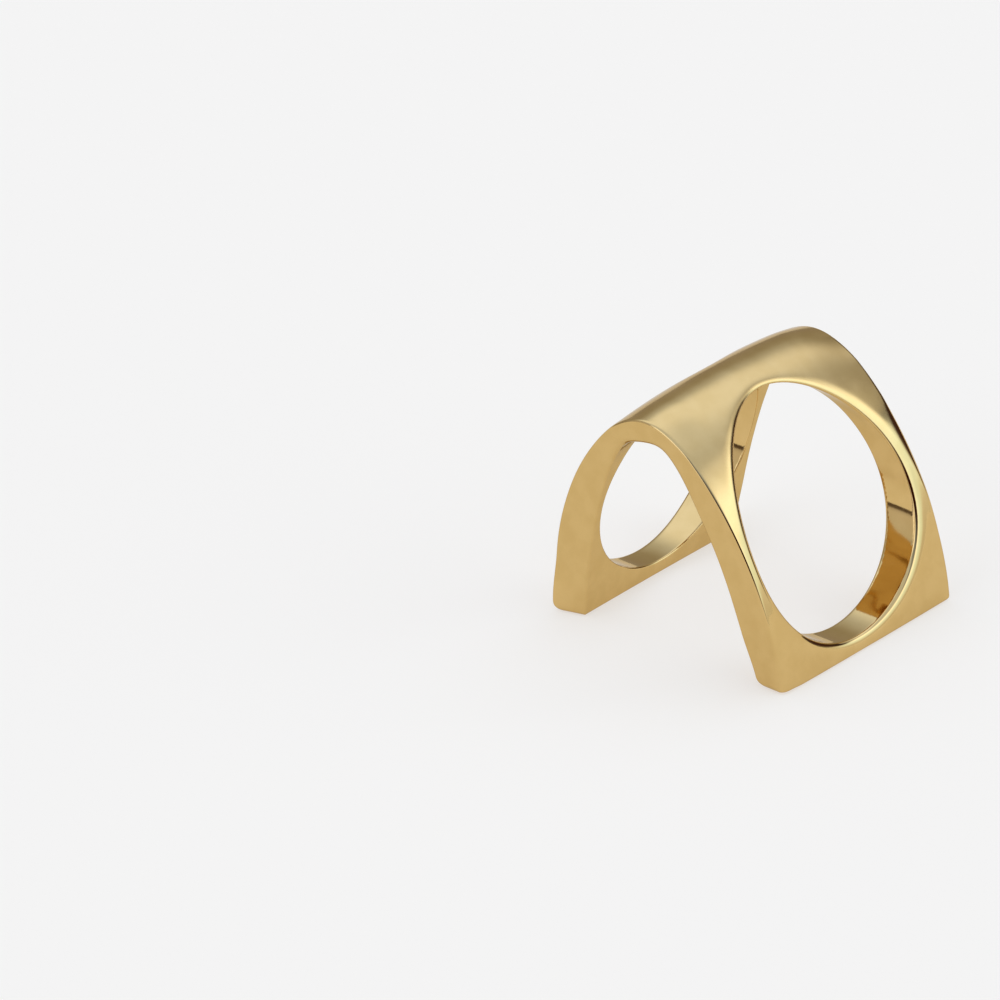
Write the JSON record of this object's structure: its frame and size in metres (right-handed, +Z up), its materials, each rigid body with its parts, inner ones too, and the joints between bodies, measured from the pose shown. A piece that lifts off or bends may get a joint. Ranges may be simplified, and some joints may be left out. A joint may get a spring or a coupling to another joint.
{
  "type": "double ring",
  "caption": "Polished gold-tone double ring: a plate arched over a rounded ridge, with a round finger hole through each leg and flat feet to stand on.",
  "frame": {"origin": "middle of the footprint, on the plane the feet stand on", "axes": "+X along the ridge, +Y along the finger from the slanted front leg to the steeper rear leg, +Z up"},
  "size_m": [0.02, 0.0216, 0.019],
  "materials": {
    "polished_gold": "polished"
  },
  "bodies": {
    "root": {"double_ring": "polished_gold"}
  },
  "joints": []
}
